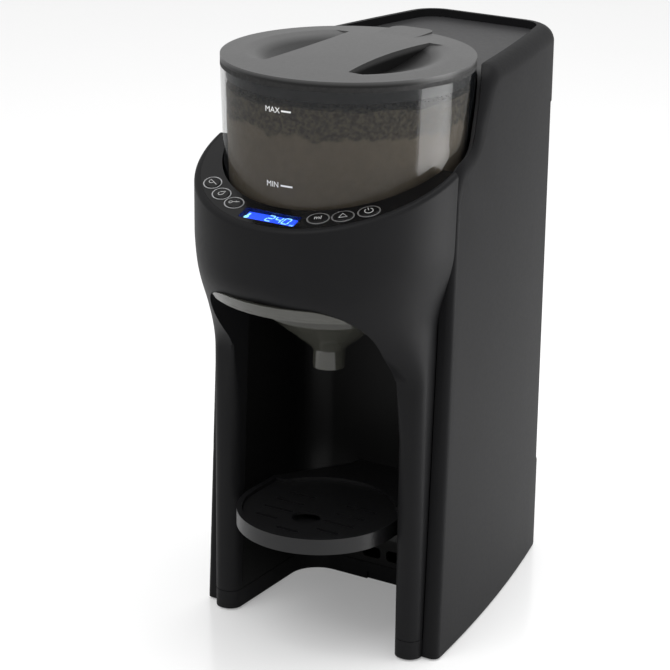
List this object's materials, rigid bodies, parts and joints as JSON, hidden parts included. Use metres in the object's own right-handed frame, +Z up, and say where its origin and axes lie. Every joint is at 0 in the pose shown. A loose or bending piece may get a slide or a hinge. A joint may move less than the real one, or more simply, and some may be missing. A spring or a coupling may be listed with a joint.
{
  "type": "baby formula maker",
  "caption": "Countertop machine that doses powder and warm water into a funnel over a height-adjustable bottle tray, with a lift-off powder container and a rear water tank.",
  "frame": {"origin": "on the table, under the middle of the whole machine", "axes": "+X to the right of a user who faces the front, +Y to the rear, +Z up"},
  "size_m": [0.1704, 0.2771, 0.3668],
  "materials": {
    "charcoal": "satin",
    "grey_shell": "satin",
    "lid_grey": "satin",
    "cover_grey": "satin",
    "liner_black": "matte",
    "tray_black": "matte",
    "smoke_clear": "clear, polished",
    "funnel_smoke": "clear, polished",
    "tank_clear": "clear, polished",
    "panel_black": "gloss",
    "button_black": "gloss",
    "ring_silver": "polished",
    "display_blue": "lit display",
    "display_pane": "clear",
    "white_plastic": "matte",
    "inner_grey": "matte",
    "rubber": "matte",
    "silicone": "matte",
    "steel": "brushed",
    "board_green": "satin"
  },
  "bodies": {
    "machine": {"front_housing": "charcoal", "bay_liner": "liner_black", "base_trim": "charcoal", "outer_shell": "grey_shell", "top_cover": "cover_grey", "hopper_well": "liner_black", "drive_deck": "inner_grey", "powder_chute": "white_plastic", "gear_plate": "inner_grey", "gear_motor": "steel", "funnel_rails": "liner_black", "water_nozzle": "silicone", "tank_house": "inner_grey", "tank_floor": "inner_grey", "tank_dock": "inner_grey", "dock_seal": "silicone", "water_pump": "inner_grey", "water_heater": "steel", "water_tubes": "silicone", "main_board": "board_green", "power_inlet": "liner_black", "rubber_feet": "rubber", "housing_screws": "steel", "control_panel": "panel_black", "display_window": "display_pane", "display_module": "display_blue", "button_rings": "ring_silver", "tact_switches": "steel", "panel_board": "board_green"},
    "drive": {"drive_gear": "white_plastic", "drive_shaft": "steel"},
    "idler": {"idler_gear": "white_plastic"},
    "pinion": {"motor_pinion": "white_plastic"},
    "container": {"powder_container": "smoke_clear"},
    "lid": {"container_lid": "lid_grey", "lid_gasket": "rubber"},
    "dosing_wheel": {"powder_wheel": "white_plastic"},
    "stirrer": {"stirring_wheel": "white_plastic"},
    "funnel": {"mixing_funnel": "funnel_smoke", "funnel_cover": "funnel_smoke"},
    "tray": {"bottle_tray": "tray_black"},
    "grille": {"tray_grille": "tray_black"},
    "tank": {"water_tank": "tank_clear"},
    "filler_lid": {"tank_lid": "cover_grey"},
    "valve": {"tank_valve": "white_plastic", "valve_spring": "steel"},
    "button_scoop": {"button_scoop": "button_black"},
    "button_water": {"button_water": "button_black"},
    "button_temperature": {"button_temperature": "button_black"},
    "button_volume": {"button_volume": "button_black"},
    "button_start": {"button_start": "button_black"},
    "button_power": {"button_power": "button_black"}
  },
  "joints": [
    {"name": "dosing_wheel_spin", "type": "hinge", "parent": "container", "child": "dosing_wheel", "pos_m": [0, -0.0415, 0.266], "axis": [0, 0, 1], "continuous": true},
    {"name": "stirrer_spin", "type": "hinge", "parent": "container", "child": "stirrer", "pos_m": [0, -0.0415, 0.272], "axis": [0, 0, 1], "continuous": true},
    {"name": "drive_spin", "type": "hinge", "parent": "machine", "child": "drive", "pos_m": [0, -0.0415, 0.246], "axis": [0, 0, 1], "continuous": true},
    {"name": "idler_spin", "type": "hinge", "parent": "machine", "child": "idler", "pos_m": [0, 0.0005, 0.246], "axis": [0, 0, 1], "continuous": true},
    {"name": "pinion_spin", "type": "hinge", "parent": "machine", "child": "pinion", "pos_m": [0, 0.0335, 0.246], "axis": [0, 0, 1], "continuous": true},
    {"name": "container_lift", "type": "slide", "parent": "machine", "child": "container", "axis": [0, 0, 1], "range_m": [0, 0.1]},
    {"name": "lid_lift", "type": "slide", "parent": "container", "child": "lid", "axis": [0, 0, 1], "range_m": [0, 0.03]},
    {"name": "funnel_slide", "type": "slide", "parent": "machine", "child": "funnel", "axis": [0, -1, 0], "range_m": [0, 0.11]},
    {"name": "tray_slide", "type": "slide", "parent": "machine", "child": "tray", "axis": [0, -1, 0], "range_m": [0, 0.06]},
    {"name": "grille_lift", "type": "slide", "parent": "tray", "child": "grille", "axis": [0, 0, 1], "range_m": [0, 0.015]},
    {"name": "tank_slide", "type": "slide", "parent": "machine", "child": "tank", "axis": [0, 1, 0], "range_m": [0, 0.075]},
    {"name": "filler_lid_slide", "type": "slide", "parent": "tank", "child": "filler_lid", "axis": [0, 1, 0], "range_m": [0, 0.045]},
    {"name": "valve_slide", "type": "slide", "parent": "tank", "child": "valve", "axis": [0, 1, 0], "range_m": [0, 0.002], "stiffness_N_per_m": 60, "springref_m": -0.001, "deforming": ["valve_spring"]},
    {"name": "press_scoop", "type": "slide", "parent": "machine", "child": "button_scoop", "axis": [0, 0.311, -0.9504], "range_m": [0, 0.0008], "stiffness_N_per_m": 400, "springref_m": -0.0002},
    {"name": "press_water", "type": "slide", "parent": "machine", "child": "button_water", "axis": [0, 0.311, -0.9504], "range_m": [0, 0.0008], "stiffness_N_per_m": 400, "springref_m": -0.0002},
    {"name": "press_temperature", "type": "slide", "parent": "machine", "child": "button_temperature", "axis": [0, 0.311, -0.9504], "range_m": [0, 0.0008], "stiffness_N_per_m": 400, "springref_m": -0.0002},
    {"name": "press_volume", "type": "slide", "parent": "machine", "child": "button_volume", "axis": [0, 0.311, -0.9504], "range_m": [0, 0.0008], "stiffness_N_per_m": 400, "springref_m": -0.0002},
    {"name": "press_start", "type": "slide", "parent": "machine", "child": "button_start", "axis": [0, 0.311, -0.9504], "range_m": [0, 0.0008], "stiffness_N_per_m": 400, "springref_m": -0.0002},
    {"name": "press_power", "type": "slide", "parent": "machine", "child": "button_power", "axis": [0, 0.311, -0.9504], "range_m": [0, 0.0008], "stiffness_N_per_m": 400, "springref_m": -0.0002}
  ],
  "couplings": [
    {"joint": "stirrer_spin", "follows": "dosing_wheel_spin", "ratio": 1},
    {"joint": "drive_spin", "follows": "dosing_wheel_spin", "ratio": 1},
    {"joint": "idler_spin", "follows": "dosing_wheel_spin", "ratio": -1.3333},
    {"joint": "pinion_spin", "follows": "dosing_wheel_spin", "ratio": 1.6}
  ]
}
